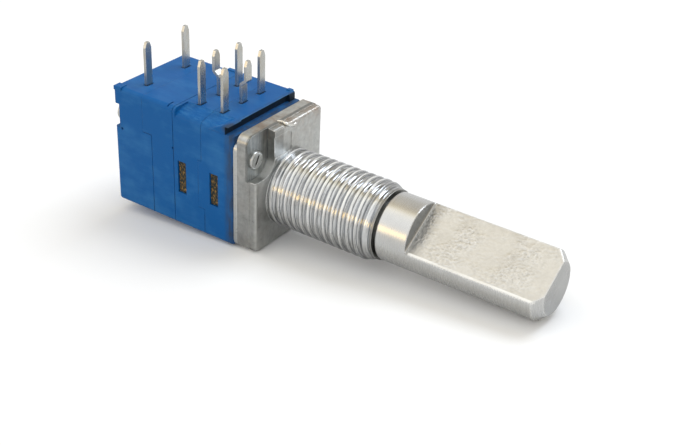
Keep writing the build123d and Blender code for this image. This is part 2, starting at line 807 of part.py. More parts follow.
def make_blade(face_x, place, kink):
    """Make one pin: a neck up from its pad inside the body, then a blade with a cut tip."""
    pin_y = place * pin_pitch
    pad_y, pad_z = pads[place]
    mid_x = face_x - blade_thickness / 2
    knee_z = pin_face_z + kink_height
    with BuildPart() as blade:
        with BuildSketch(Plane.XY.offset(wafer_tab_z)):
            with Locations((mid_x, pin_y)):
                Rectangle(blade_thickness, blade_width)
        if kink:
            with BuildLine() as route:
                FilletPolyline(
                    (mid_x, pin_y, wafer_tab_z),
                    (mid_x, pin_y, knee_z),
                    (mid_x + kink * kink_offset, pin_y, knee_z + kink_rise),
                    (mid_x + kink * kink_offset, pin_y, pin_tip_z),
                    radius=kink_r,
                )
            sweep(path=route.line)
        else:
            extrude(amount=pin_tip_z - wafer_tab_z)
        tip = blade.faces().sort_by(Axis.Z)[-1]
        side_edges = tip.edges().filter_by(Axis.X)
        chamfer(side_edges, tip_cut_width, tip_cut_length, reference=tip)
        with BuildSketch(Plane.YZ.offset(face_x)):
            with BuildLine():
                Polyline(
                    (pad_y - neck_width / 2, pad_z),
                    (pin_y - blade_width / 2, wafer_tab_z),
                    (pin_y + blade_width / 2, wafer_tab_z),
                    (pad_y + neck_width / 2, pad_z),
                    close=True,
                )
            make_face()
        extrude(amount=-blade_thickness)
    return blade


# Gang terminals: three for each gang, the middle one kinked to hold in the board
blade_faces = {
    "front": (front_blade_x, 1),
    "rear": (rear_blade_x, -1),
}
for gang, (face_x, kink_side) in blade_faces.items():
    for number, place in enumerate(pads, start=1):
        blade = make_blade(face_x, place, kink_side if place == 0 else 0)
        with BuildPart() as terminal:
            add(blade.part)
            with BuildSketch(Plane.YZ.offset(face_x)):
                with Locations(pads[place]):
                    Circle(pad_below)
            extrude(amount=-blade_thickness)
            with BuildSketch(Plane.YZ.offset(face_x)):
                with Locations(pads[place]):
                    Circle(eyelet_hole_r)
            extrude(amount=-blade_thickness, mode=Mode.SUBTRACT)
        finish(terminal, f"{gang}_terminal_{number}")

# Switch terminals: the first carries the full contact ring on a strap, the second the open arc
arc_gap_points = [(0, 0)]
for angle in (arc_start_angle, (arc_start_angle + arc_end_angle) / 2, arc_end_angle):
    arc_gap_points.append((far * math.cos(math.radians(angle)), far * math.sin(math.radians(angle))))

with BuildPart() as ring_terminal:
    add(make_blade(switch_blade_x, -1, 0).part)
    with BuildSketch(Plane.YZ.offset(switch_blade_x)):
        Circle(ring_outer_r)
        Circle(ring_inner_r, mode=Mode.SUBTRACT)
        with BuildLine(Location((0, 0), 90 + pad_angle)):
            Polyline(
                (ring_mid_r, -neck_width / 2),
                (track_mid_r, -neck_width / 2),
                (track_mid_r, neck_width / 2),
                (ring_mid_r, neck_width / 2),
                close=True,
            )
        make_face()
    extrude(amount=-blade_thickness)
finish(ring_terminal, "switch_terminal_1")

with BuildPart() as arc_terminal:
    add(make_blade(switch_blade_x, 1, 0).part)
    with BuildSketch(Plane.YZ.offset(switch_blade_x)):
        Circle(arc_outer_r)
        Circle(arc_inner_r, mode=Mode.SUBTRACT)
        with BuildLine():
            Polyline(*arc_gap_points, close=True)
        make_face(mode=Mode.SUBTRACT)
    extrude(amount=-blade_thickness)
finish(arc_terminal, "switch_terminal_2")

# Shaft: head, journal with the clip's groove, D-shaped tenon and rear pilot
groove_rear_x = clip_x - clip_thickness - clip_play
tenon_end_x = switch_rotor_x - wiper_thickness - slip_gap
flat_normal = Vector(0, math.cos(math.radians(flat_angle)), math.sin(math.radians(flat_angle)))
flat_plane = Plane((0, 0, 0), x_dir=(1, 0, 0), z_dir=Vector(1, 0, 0).cross(flat_normal))
with BuildPart() as shaft:
    with BuildSketch(Plane.XY):
        with BuildLine():
            Polyline(
                (tenon_x, 0),
                (tenon_x, journal_r),
                (groove_rear_x, journal_r),
                (groove_rear_x, clip_groove_r),
                (clip_floor_x, clip_groove_r),
                (clip_floor_x, journal_r),
                (head_x, journal_r),
                (head_x, shaft_r - head_edge),
                (head_x + head_edge, shaft_r),
                (shaft_end_x - end_chamfer, shaft_r),
                (shaft_end_x, shaft_r - end_chamfer),
                (shaft_end_x, 0),
                close=True,
            )
        make_face()
    revolve(axis=Axis.X)
    with BuildSketch(flat_plane) as flat:
        with Locations((flat_wall_x, flat_offset)):
            Rectangle(far, far, align=(Align.MIN, Align.MIN))
        fillet(flat.vertices().group_by(Axis.X)[0].sort_by(Axis.Y)[0], flat_root_r)
    extrude(amount=shaft_d, both=True, mode=Mode.SUBTRACT)
    with BuildSketch(Plane.YZ.offset(tenon_x)):
        add(tenon_section)
    extrude(amount=tenon_end_x - tenon_x)
    with BuildSketch(Plane.YZ.offset(tenon_end_x)):
        Circle(pilot_r)
    extrude(amount=switch_floor_x - pilot_length - tenon_end_x)
finish(shaft, "shaft")

# Washer between the bushing's nose and the shaft's head
with BuildPart() as shaft_washer:
    with BuildSketch(Plane.YZ.offset(washer_x)):
        Circle(shaft_r + washer_overhang)
        Circle(journal_r + running_gap, mode=Mode.SUBTRACT)
    extrude(amount=washer_thickness)
finish(shaft_washer, "shaft_washer")

# Retaining clip in the journal's groove
with BuildPart() as retaining_clip:
    with BuildSketch(Plane.YZ.offset(clip_x)):
        Circle(clip_bore_d / 2 - clip_bore_gap)
        Circle(clip_groove_r + drive_gap, mode=Mode.SUBTRACT)
        Rectangle(clip_opening, far, align=(Align.CENTER, Align.MAX), mode=Mode.SUBTRACT)
    extrude(amount=-clip_thickness)
finish(retaining_clip, "retaining_clip")

# Rotors on the tenon: the front one carries the lug that meets the stop
rest_lug_angle = 90 + (360 - rotor_travel) / 2
lug_half_width = far * math.tan(math.radians(rotor_lug_angle / 2))
with BuildPart() as front_rotor:
    with BuildSketch(Plane.YZ.offset(front_rotor_x)):
        Circle(rotor_r)
        add(tenon_bore, mode=Mode.SUBTRACT)
    extrude(amount=rotor_thickness)
    with BuildSketch(Plane.YZ.offset(front_rotor_x)) as rotor_lug:
        Circle(rotor_cavity_r - rotor_lug_gap)
        Circle(rotor_r, mode=Mode.SUBTRACT)
        with BuildLine(Location((0, 0), rest_lug_angle)):
            Polyline((0, 0), (far, lug_half_width), (far, -lug_half_width), close=True)
        make_face(mode=Mode.INTERSECT)
    extrude(amount=rotor_thickness)
finish(front_rotor, "front_rotor")

with BuildPart() as rear_rotor:
    with BuildSketch(Plane.YZ.offset(rear_rotor_x)):
        Circle(rotor_r)
        add(tenon_bore, mode=Mode.SUBTRACT)
    extrude(amount=-rotor_thickness)
finish(rear_rotor, "rear_rotor")

with BuildPart() as switch_rotor:
    with BuildSketch(Plane.YZ.offset(switch_rotor_x)):
        Circle(rotor_cavity_r - switch_rotor_room)
        add(tenon_bore, mode=Mode.SUBTRACT)
    extrude(amount=switch_rotor_thickness)
finish(switch_rotor, "switch_rotor")


def make_wiper(plate_x, side, outer_r, inner_r, contact_angle):
    """Make a ring with two spring arms that reach towards side * X, one on each radius."""
    reach = wiper_reach - brush_gap
    lead = wiper_arm_run / 2
    arm_angle = contact_angle - math.degrees(math.atan(lead / outer_r))
    with BuildPart() as wiper:
        with BuildSketch(Plane.YZ.offset(plate_x)):
            Circle(wafer_bore_r + wiper_ring_width)
            with BuildLine(Location((0, 0), arm_angle)):
                Polyline(
                    (0, -lead),
                    (outer_r + wiper_arm_width / 2, -lead),
                    (outer_r + wiper_arm_width / 2, wiper_toe - lead),
                    (0, wiper_toe - lead),
                    close=True,
                )
            make_face()
            Circle(wafer_bore_r, mode=Mode.SUBTRACT)
        extrude(amount=side * wiper_thickness)
        for arm_r, turn in ((outer_r, 0), (inner_r, 180)):
            angle = math.radians(arm_angle + turn)
            outward = Vector(0, math.cos(angle), math.sin(angle))
            along = Vector(0, -math.sin(angle), math.cos(angle))
            with BuildSketch(Plane(Vector(plate_x, 0, 0) + outward * arm_r, x_dir=along, z_dir=outward)):
                with BuildLine():
                    Polyline(
                        (-lead, 0),
                        (-lead + wiper_toe, 0),
                        (lead, side * (reach - wiper_thickness)),
                        (lead + wiper_toe, side * (reach - 2 * wiper_thickness)),
                        (lead + wiper_toe, side * (reach - wiper_thickness)),
                        (lead, side * reach),
                        (-lead + wiper_toe, side * wiper_thickness),
                        (-lead, side * wiper_thickness),
                        close=True,
                    )
                make_face()
            extrude(amount=wiper_arm_width / 2, both=True)
    return wiper


# Wipers of the two gangs, and the bridge that shorts the switch's contacts
track_arm_r = track_mid_r - wiper_arm_width / 2
collector_arm_r = collector_mid_r - wiper_arm_width / 2
arc_arm_r = arc_mid_r - wiper_arm_width / 2
bridge_angle = arc_start_angle + arc_lead_angle
front_wiper = make_wiper(front_rotor_x, -1, track_arm_r, collector_arm_r, rest_lug_angle)
finish(front_wiper, "front_wiper")
rear_wiper = make_wiper(rear_rotor_x, 1, track_arm_r, collector_arm_r, rest_lug_angle)
finish(rear_wiper, "rear_wiper")
switch_bridge = make_wiper(switch_rotor_x, -1, arc_arm_r, ring_mid_r, bridge_angle)
finish(switch_bridge, "switch_bridge")
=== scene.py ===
"""Finishes, small surface pieces and studio for a dual-gang potentiometer."""

from __future__ import annotations

import logging
import math
from dataclasses import dataclass, field
from enum import Enum
from typing import Any, Mapping, NamedTuple, Optional, Sequence, Union

import bmesh
import bpy
from mathutils import Matrix, Vector


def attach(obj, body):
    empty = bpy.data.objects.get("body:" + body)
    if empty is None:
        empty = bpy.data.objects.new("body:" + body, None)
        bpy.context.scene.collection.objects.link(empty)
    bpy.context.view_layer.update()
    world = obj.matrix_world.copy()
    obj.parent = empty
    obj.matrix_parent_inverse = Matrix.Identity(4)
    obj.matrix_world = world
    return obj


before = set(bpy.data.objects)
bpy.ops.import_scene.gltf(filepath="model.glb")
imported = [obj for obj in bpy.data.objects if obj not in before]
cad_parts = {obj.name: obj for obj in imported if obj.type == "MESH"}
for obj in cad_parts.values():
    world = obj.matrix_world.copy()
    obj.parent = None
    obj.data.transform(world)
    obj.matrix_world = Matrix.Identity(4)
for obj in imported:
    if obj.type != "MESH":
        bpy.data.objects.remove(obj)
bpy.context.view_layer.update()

log = logging.getLogger("potentiometer")

MM = 0.001

Number = Union["Value", float]
Colour = tuple[float, float, float]
Point = tuple[float, float, float]
Owner = Union[bpy.types.Material, bpy.types.World]


class Step(NamedTuple):
    """A soft step: the value at its middle and its width."""

    edge: float
    softness: float


class Span(NamedTuple):
    """A stretch between two edges, with soft steps of one width."""

    low: float
    high: float
    softness: float


class Contrast(NamedTuple):
    """What turns an even pattern into spots: the gain, and what is then taken off."""

    gain: float
    drop: float


@dataclass(frozen=True)
class Extent:
    """Where a node of the frame starts and ends along X, Y and Z, in millimetres."""

    low: Point
    high: Point

    @classmethod
    def of_node(cls, node: str) -> Extent:
        """Return the extent of a node in the part's own frame."""
        axes = list(zip(*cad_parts[node].bound_box))
        return cls(tuple(min(axis) / MM for axis in axes), tuple(max(axis) / MM for axis in axes))


CASTING = Extent.of_node("bushing")
MIDDLE = Extent.of_node("mid_housing")
SHAFT = Extent.of_node("shaft")
BODY_FRONT_X = Extent.of_node("front_housing").high[0]
BODY_LEFT_Y = MIDDLE.low[1]
PIN_FACE_Z = MIDDLE.high[2]


def linear(red: int, green: int, blue: int) -> Colour:
    """Turn an 8-bit display colour into a linear one.

    Args:
        red: The red level, from 0 to 255.
        green: The green level.
        blue: The blue level.

    Returns:
        The linear colour.
    """
    def one(level: int) -> float:
        """Return one channel, decoded."""
        share = level / 255
        return share / 12.92 if share <= 0.04045 else ((share + 0.055) / 1.055) ** 2.4

    return one(red), one(green), one(blue)


class Value:
    """A number in a node tree, with Python's operators for its Math nodes."""

    def __init__(self, graph: Graph, socket: bpy.types.NodeSocket) -> None:
        """Wrap a socket.

        Args:
            graph: The tree that the socket belongs to.
            socket: The output socket that carries the number.
        """
        self.graph = graph
        self.socket = socket

    def __add__(self, other: Number) -> Value:
        """Return self + other."""
        return self.graph.math("ADD", self, other)

    __radd__ = __add__

    def __sub__(self, other: Number) -> Value:
        """Return self - other."""
        return self.graph.math("SUBTRACT", self, other)

    def __rsub__(self, other: Number) -> Value:
        """Return other - self."""
        return self.graph.math("SUBTRACT", other, self)

    def __mul__(self, other: Number) -> Value:
        """Return self * other."""
        return self.graph.math("MULTIPLY", self, other)

    __rmul__ = __mul__

    def __truediv__(self, other: Number) -> Value:
        """Return self / other."""
        return self.graph.math("DIVIDE", self, other)

    def __rtruediv__(self, other: Number) -> Value:
        """Return other / self."""
        return self.graph.math("DIVIDE", other, self)

    def above(self, edge: Number, softness: float) -> Value:
        """Return 0 below an edge and 1 above it, with a soft step.

        Args:
            edge: The value at the middle of the step.
            softness: The width of the step.

        Returns:
            The step as a number from 0 to 1.
        """
        return self.graph.clamp((self - edge) / softness + 0.5)

    def below(self, edge: Number, softness: float) -> Value:
        """Return 1 below an edge and 0 above it, with a soft step."""
        return 1 - self.above(edge, softness)

    def within(self, low: float, high: float, softness: float) -> Value:
        """Return 1 between two edges and 0 outside them, with soft steps."""
        return self.above(low, softness) * self.below(high, softness)

    def contrast(self, gain: float, drop: float) -> Value:
        """Return the value times a gain and less a drop, held between 0 and 1."""
        return self.graph.clamp(self * gain - drop)

    def root(self) -> Value:
        """Return the square root."""
        return self.graph.math("SQRT", self)


class Graph:
    """The node tree of one material or of the world, built by expressions."""

    def __init__(self, owner: Owner) -> None:
        """Empty the owner's tree.

        Args:
            owner: The new material or world.
        """
        self.owner = owner
        owner.use_nodes = True
        self.tree = owner.node_tree
        self.tree.nodes.clear()

    @classmethod
    def of_material(cls, name: str) -> Graph:
        """Return the tree of a new material with that name."""
        return cls(bpy.data.materials.new(name))

    def node(
        self,
        kind: str,
        settings: Optional[Mapping[str, Any]] = None,
        inputs: Optional[Mapping[Union[str, int], Any]] = None,
    ) -> bpy.types.Node:
        """Add one node.

        Args:
            kind: The node's type, without the ShaderNode in front.
            settings: Attributes, such as a Math node's operation or a ramp's stops, set first.
            inputs: Values or links for its sockets, by name or place.

        Returns:
            The new node.
        """
        made = self.tree.nodes.new("ShaderNode" + kind)
        for key, value in (settings or {}).items():
            if key == "stops":
                self._set_stops(made, value)
            else:
                setattr(made, key, value)
        for key, value in (inputs or {}).items():
            self._feed(made.inputs[key], value)
        return made

    @staticmethod
    def _set_stops(ramp: bpy.types.Node, stops: Sequence[tuple[float, Sequence[float]]]) -> None:
        """Give a colour ramp its stops.

        Args:
            ramp: The ramp node.
            stops: Pairs of a place from 0 to 1 and a colour.
        """
        elements = ramp.color_ramp.elements
        while len(elements) < len(stops):
            elements.new(1.0)
        for element, (place, colour) in zip(elements, stops):
            element.position = place
            element.color = (*colour[:3], 1.0)

    def _feed(self, socket: bpy.types.NodeSocket, value: Any) -> None:
        """Link or set one input socket.

        Args:
            socket: The input.
            value: A Value, an output socket, a number, a vector or a colour.
        """
        if isinstance(value, Value):
            self.tree.links.new(value.socket, socket)
        elif isinstance(value, bpy.types.NodeSocket):
            self.tree.links.new(value, socket)
        elif socket.type == "RGBA" and len(value) == 3:
            socket.default_value = (*value, 1.0)
        else:
            socket.default_value = value

    def math(self, operation: str, first: Number, second: Number = 0.0) -> Value:
        """Return the result of a Math node."""
        made = self.node("Math", {"operation": operation}, {0: first, 1: second})
        return Value(self, made.outputs[0])

    def clamp(self, value: Value) -> Value:
        """Return a value held between 0 and 1."""
        return Value(self, self.node("Clamp", None, {0: value}).outputs[0])

    def place(self) -> tuple[Value, Value, Value]:
        """Return the point's place in millimetres in the part's own frame, as x, y and z."""
        made = self.node("SeparateXYZ", None, {0: self.place_vector()})
        return tuple(Value(self, socket) for socket in made.outputs)

    def place_vector(self, stretch: Sequence[float] = (1, 1, 1)) -> bpy.types.NodeSocket:
        """Return the point's place in millimetres as a vector, scaled along each axis.

        Args:
            stretch: How much denser a pattern gets along X, Y and Z.

        Returns:
            The vector's socket.
        """
        source = self.node("TexCoord").outputs["Object"]
        per_mm = [share / MM for share in stretch]
        return self.node("VectorMath", {"operation": "MULTIPLY"}, {0: source, 1: per_mm}).outputs[0]

    def facing(self, direction: Sequence[float]) -> Value:
        """Measure how far the surface faces a direction.

        Args:
            direction: The direction in the part's own frame, of unit length.

        Returns:
            The share, from -1 to 1.
        """
        normal = self.node("TexCoord").outputs["Normal"]
        made = self.node("VectorMath", {"operation": "DOT_PRODUCT"}, {0: normal, 1: list(direction)})
        return Value(self, made.outputs["Value"])

    def noise(
        self,
        size: float,
        detail: float = 2.0,
        roughness: float = 0.5,
        stretch: Sequence[float] = (1, 1, 1),
        shift: float = 0.0,
    ) -> Value:
        """Return a noise pattern.

        Args:
            size: The pattern's grain in millimetres.
            detail: The number of finer layers.
            roughness: The weight of the finer layers.
            stretch: How much denser the pattern gets along X, Y and Z.
            shift: Moves the pattern, so that two of one size differ.

        Returns:
            The pattern, about 0.5.
        """
        vector = self.place_vector(stretch)
        if shift:
            places = {0: vector, 1: (shift,) * 3}
            vector = self.node("VectorMath", {"operation": "ADD"}, places).outputs[0]
        made = self.node(
            "TexNoise", None,
            {"Vector": vector, "Scale": 1 / size, "Detail": detail, "Roughness": roughness},
        )
        return Value(self, made.outputs[0])

    def mix(self, factor: Number, first: Any, second: Any) -> bpy.types.NodeSocket:
        """Return two colours mixed by a factor."""
        return self.node("Mix", {"data_type": "RGBA"}, {0: factor, 6: first, 7: second}).outputs[2]

    def shade(self, colour: Any, amount: Value) -> bpy.types.NodeSocket:
        """Return a colour multiplied by a grey amount."""
        made = self.node("VectorMath", {"operation": "SCALE"}, {0: colour, "Scale": amount})
        return made.outputs[0]

    def rounded(self, radius: float) -> bpy.types.NodeSocket:
        """Return the normal as if each sharp edge had a radius in millimetres."""
        return self.node("Bevel", {"samples": 6}, {"Radius": radius * MM}).outputs[0]

    def edge(self, radius: float) -> Value:
        """Return 1 along sharp edges and 0 elsewhere.

        Args:
            radius: How far from an edge it reaches, in millimetres.

        Returns:
            The share of sharp edge.
        """
        normals = {0: self.rounded(radius), 1: self.node("NewGeometry").outputs["Normal"]}
        made = self.node("VectorMath", {"operation": "DOT_PRODUCT"}, normals)
        return (1 - Value(self, made.outputs["Value"])).contrast(14, 0.2)

    def around_shaft(self, share: Number, normal: bpy.types.NodeSocket) -> bpy.types.NodeSocket:
        """Return a normal that leans towards that of a plain cylinder about the X axis.

        Args:
            share: How far it leans, from 0 to 1.
            normal: The normal to start from.

        Returns:
            The leaning normal, not of unit length.
        """
        outwards = self.place_vector((0, 1, 1))
        away = self.node("VectorMath", {"operation": "NORMALIZE"}, {0: outwards})
        turned = self.node(
            "VectorTransform",
            {"vector_type": "NORMAL", "convert_from": "OBJECT", "convert_to": "WORLD"},
            {0: away.outputs[0]},
        )
        leaning = {0: share, 4: normal, 5: turned.outputs[0]}
        return self.node("Mix", {"data_type": "VECTOR"}, leaning).outputs[1]

    def bump(
        self, height: Value, depth: float, normal: Optional[bpy.types.NodeSocket] = None,
    ) -> bpy.types.NodeSocket:
        """Return a normal bent by a height pattern.

        Args:
            height: The pattern, about 0 to 1.
            depth: The height of 1, in millimetres.
            normal: The normal before it is bent, by default that of the mesh.

        Returns:
            The normal's socket.
        """
        inputs = {"Height": height, "Distance": depth * MM}
        if normal:
            inputs["Normal"] = normal
        return self.node("Bump", None, inputs).outputs[0]

    def surface(self, inputs: Mapping[str, Any]) -> bpy.types.Material:
        """Close the tree with a Principled shader.

        Args:
            inputs: The shader's inputs by name.

        Returns:
            The finished material.
        """
        shader = self.node("BsdfPrincipled", None, inputs)
        return self.close(shader.outputs[0])

    def close(self, shader: bpy.types.NodeSocket) -> Owner:
        """Link a shader to the tree's output.

        Args:
            shader: The shader's socket.

        Returns:
            The material or world that owns the tree.
        """
        kind = "OutputWorld" if isinstance(self.owner, bpy.types.World) else "OutputMaterial"
        self.node(kind, None, {"Surface": shader})
        return self.owner


@dataclass(frozen=True)
class BlueMoulding:
    """Blue plastic with scuffs and a painted highlight along its left shoulder, a painted highlight
    along its front top edges, dirt at the plate, and painted shade along the seam lines and in the front
    groove.
    """

    body: Colour = linear(2, 91, 159)
    # Lighter blue for pale clouds, scuffs and painted highlights.
    wear_and_highlight: Colour = linear(84, 154, 206)
    dirt: Colour = linear(58, 62, 64)
    # The colour of the painted shade in seam lines and in the front groove.
    painted_shade: Colour = linear(22, 34, 44)
    cloud_size: float = 3.2
    streak_size: float = 0.9
    scuff_size: float = 0.3
    smudge_size: float = 0.8
    grain_size: float = 0.12
    along_body: Point = (0.35, 1, 1)
    seam_contrast: Contrast = Contrast(5, 2.2)
    scuff_contrast: Contrast = Contrast(3.4, 1.5)
    smudge_contrast: Contrast = Contrast(1.9, 0.3)
    seam_share: float = 0.45
    scuff_share: float = 0.34
    dirt_share: float = 0.8
    groove_share: float = 0.95
    cloud_wear: float = 0.6
    streak_wear: float = 0.5
    least_wear: float = 0.03
    corner_dirt: float = 1.6
    roughness: float = 0.42
    gloss: float = 0.2
    relief: float = 0.01
    edge_radius: float = 0.07
    edge_reach: float = 0.1
    shoulder_x: Span = Span(MIDDLE.low[0] - 0.14, BODY_FRONT_X - 1.25, 0.4)
    shoulder_y: Span = Span(BODY_LEFT_Y + 0.15, BODY_LEFT_Y + 1.85, 0.25)
    shoulder_z: Step = Step(PIN_FACE_Z - 0.6, 0.25)
    front_edge_x: Step = Step(BODY_FRONT_X - 1.05, 0.1)
    front_edge_z: Step = Step(PIN_FACE_Z - 0.2, 0.1)
    groove_x: Span = Span(BODY_FRONT_X - 0.9, BODY_FRONT_X - 0.51, 0.04)
    groove_z: Span = Span(PIN_FACE_Z - 0.73, PIN_FACE_Z - 0.05, 0.04)
    smudge_x: Step = Step(BODY_FRONT_X - 0.8, 0.6)
    corner_x: Step = Step(BODY_FRONT_X - 1.15, 0.5)
    corner_y: Step = Step(BODY_LEFT_Y + 0.65, 0.8)
    corner_z: Step = Step(PIN_FACE_Z - 0.5, 0.5)

    def faded(self, graph: Graph, streak: Value) -> Value:
        """Return the share of pale clouds and streaks."""
        cloud = graph.noise(self.cloud_size, 3, 0.55)
        return graph.clamp(
            (cloud - 0.5) * self.cloud_wear + (streak - 0.5) * self.streak_wear + self.least_wear
        )

    def scuffed_and_highlighted(self, graph: Graph) -> Value:
        """Return the share of fine scuffs along the left shoulder, which also lighten it as a painted
        highlight.

        Args:
            graph: The material's tree.

        Returns:
            The share, from 0 to that of a full scuff.
        """
        x, y, z = graph.place()
        shoulder = x.within(*self.shoulder_x) * y.within(*self.shoulder_y) * z.above(*self.shoulder_z)
        scuff = graph.noise(self.scuff_size, 4, 0.7, self.along_body, 11)
        return shoulder * scuff.contrast(*self.scuff_contrast) * self.scuff_share

    def dirty(self, graph: Graph) -> Value:
        """Return how dirty the body is next to the plate, most at its left top corner.

        Args:
            graph: The material's tree.

        Returns:
            The dirt, from 0 to 1.
        """
        x, y, z = graph.place()
        gain, drop = self.smudge_contrast
        smudge = graph.noise(self.smudge_size, 3, 0.6, (2.0, 1, 0.5), 3)
        corner = x.above(*self.corner_x) * y.below(*self.corner_y) * z.above(*self.corner_z)
        beside_plate = x.above(*self.smudge_x) * (smudge * gain - drop)
        return graph.clamp(beside_plate + corner * smudge * self.corner_dirt)

    def material(self) -> bpy.types.Material:
        """Build the finish as a node tree.

        Returns:
            The finished material.
        """
        graph = Graph.of_material("blue_moulding")
        x, _, z = graph.place()
        streak = graph.noise(self.streak_size, 4, 0.6, self.along_body, 7)
        grain = graph.noise(self.grain_size, 3, 0.6)
        edge = graph.edge(self.edge_reach)
        front_edge = x.above(*self.front_edge_x) * z.above(*self.front_edge_z)
        # Lighter blue: pale clouds and streaks, scuffs that also act as a painted highlight on the left
        # shoulder, and a painted highlight along the front top edges.
        wear_and_highlight = self.faded(graph, streak) + self.scuffed_and_highlighted(graph) + edge * front_edge * streak
        colour = graph.mix(graph.clamp(wear_and_highlight), self.body, self.wear_and_highlight)
        # Painted shade: darkens the sharp edges and seam lines away from the front top edge.
        seam_shade = edge * (1 - front_edge) * streak.contrast(*self.seam_contrast)
        colour = graph.mix(seam_shade * self.seam_share, colour, self.painted_shade)
        dirty = self.dirty(graph)
        colour = graph.mix(dirty * self.dirt_share, colour, self.dirt)
        # Painted shade: the front groove is darkened to near black.
        in_groove = x.within(*self.groove_x) * z.within(*self.groove_z)
        colour = graph.mix(in_groove * self.groove_share, colour, self.painted_shade)
        height = grain * 0.35 + streak * 0.65
        return graph.surface({
            "Base Color": colour,
            "Roughness": self.roughness + (streak - 0.5) * 0.25 + dirty * 0.15,
            "Specular IOR Level": self.gloss,
            "Normal": graph.bump(height, self.relief, graph.rounded(self.edge_radius)),
        })


@dataclass(frozen=True)
class CastZinc:
    """Plated die-cast zinc: a mottled plate with brown stains, and a bright cut thread, with painted
    highlights on its edges and the thread's crest lines, and painted shade on its left side, in the
    recess and in the thread's roots.
    """

    plate: Colour = linear(203, 204, 201)
    bright: Colour = linear(252, 252, 249)
    stain: Colour = linear(158, 128, 100)
    # Milled metal, darker partly as a painted shade.
    milled: Colour = linear(142, 145, 144)
    thread: Colour = linear(220, 221, 221)
    # The painted shade in the thread's roots.
    groove: Colour = linear(156, 159, 162)
    mottle_size: float = 0.5
    pit_size: float = 0.13
    cloud_size: float = 1.7
    brush_size: float = 0.14
    tooling_size: float = 0.17
    glint_size: float = 1.1
    up_plate: Point = (1, 1, 0.06)
    round_shaft: Point = (1, 0.04, 0.04)
    stain_contrast: Contrast = Contrast(5, 2.2)
    brush_contrast: Contrast = Contrast(2, 0.1)
    glint_contrast: Contrast = Contrast(3, 1.0)
    crest_contrast: Contrast = Contrast(4, 1.2)
    stain_share: float = 0.75
    groove_share: float = 0.9
    wear_and_highlight_share: float = 0.9
    facet_share: float = 0.5
    corner_highlight_share: float = 0.6
    side_shade: float = 0.27
    plate_roughness: float = 0.33
    thread_roughness: float = 0.2
    relief: float = 0.09
    edge_radius: float = 0.04
    edge_reach: float = 0.12
    thread_smoothing: float = 0.87
    thread_x: Step = Step(0.03, 0.05)
    crest_radius: Step = Step(3.465, 0.04)
    ring_radius: Span = Span(3.34, 3.4, 0.03)
    groove_radius: Step = Step(3.13, 0.1)
    crest_z: Step = Step(0.0, 4.0)
    stain_z: Step = Step(CASTING.high[2] - 0.5, 2.2)
    recess_floor: float = -0.85
    recess_inner: float = -2.05
    floor_x: Span = Span(recess_floor - 0.2, recess_floor + 0.1, 0.05)
    floor_z: Step = Step(2.0, 0.1)
    facet_x: Span = Span(recess_floor, 0.02, 0.02)
    facet_y: Span = Span(recess_inner, -0.8, 0.05)
    facet_z: Step = Step(3.0, 0.3)
    wear_and_highlight_x: Step = Step(recess_floor + 0.25, 0.1)
    corner_x: Span = Span(recess_floor, -0.05, 0.05)
    corner_y: Span = Span(-4.0, recess_inner + 0.1, 0.1)
    corner_z: Span = Span(2.0, 3.2, 0.3)
    corner_facing: Point = (0, -0.707, 0.707)
    corner_turn: Step = Step(0.85, 0.25)
    side_facing: Point = (0, -1, 0)
    side_turn: Step = Step(0.8, 0.3)

    def stained(self, graph: Graph, z: Value) -> Value:
        """Return the share of brown stain, most at the plate's top."""
        cloud = graph.noise(self.cloud_size, 4, 0.65, shift=5)
        return cloud.contrast(*self.stain_contrast) * (0.12 + z.above(*self.stain_z) * 0.88)

    def cut(self, graph: Graph) -> Value:
        """Return the share of darker milled metal, the recess's floor and the facet beside it, darkened
        partly as painted shade.

        Args:
            graph: The material's tree.

        Returns:
            The share, with brush lines in it.
        """
        x, y, z = graph.place()
        brush = graph.noise(self.brush_size, 3, 0.6, self.up_plate, 4)
        floor = x.within(*self.floor_x) * z.above(*self.floor_z)
        facet = x.within(*self.facet_x) * y.within(*self.facet_y) * z.above(*self.facet_z)
        return graph.clamp(floor + facet * self.facet_share) * brush.contrast(*self.brush_contrast)

    def rubbed_and_highlighted(self, graph: Graph, on_thread: Value) -> Value:
        """Return the share of wear and painted highlight along the plate's edges and the recess's
        corner.

        Args:
            graph: The material's tree.
            on_thread: 1 on the barrel and 0 on the plate.

        Returns:
            The share, from 0 to 1.
        """
        x, y, z = graph.place()
        glints = graph.noise(self.glint_size, 3, 0.7, shift=8).contrast(*self.glint_contrast)
        edges = graph.edge(self.edge_reach) * glints * x.above(*self.wear_and_highlight_x) * (1 - on_thread)
        corner = graph.facing(self.corner_facing).above(*self.corner_turn)
        corner = corner * x.within(*self.corner_x) * y.within(*self.corner_y) * z.within(*self.corner_z)
        return graph.clamp(edges + corner * self.corner_highlight_share)

    def material(self) -> bpy.types.Material:
        """Build the finish as a node tree.

        Returns:
            The finished material.
        """
        graph = Graph.of_material("cast_zinc")
        x, y, z = graph.place()
        on_thread = x.above(*self.thread_x)
        on_plate = 1 - on_thread
        radius = (y * y + z * z).root()
        in_groove = radius.below(*self.groove_radius) * on_thread
        on_ring = radius.within(*self.ring_radius) * on_thread
        on_crest = radius.above(*self.crest_radius) * on_thread
        mottle = graph.noise(self.mottle_size, 5, 0.7)
        pits = graph.noise(self.pit_size, 2, 0.5)
        tooling = graph.noise(self.tooling_size, 2, 0.6, self.round_shaft, 6)
        stained = self.stained(graph, z) * on_plate
        colour = graph.mix(stained * self.stain_share, self.plate, self.stain)
        # Milled, brushed metal in the recess and on the facet, made darker as a painted shade.
        colour = graph.mix(self.cut(graph), colour, self.milled)
        colour = graph.mix(on_thread, colour, self.thread)
        # Painted shade: the thread's roots and a ring along each flank are darkened.
        colour = graph.mix(graph.clamp(in_groove + on_ring) * self.groove_share, colour, self.groove)
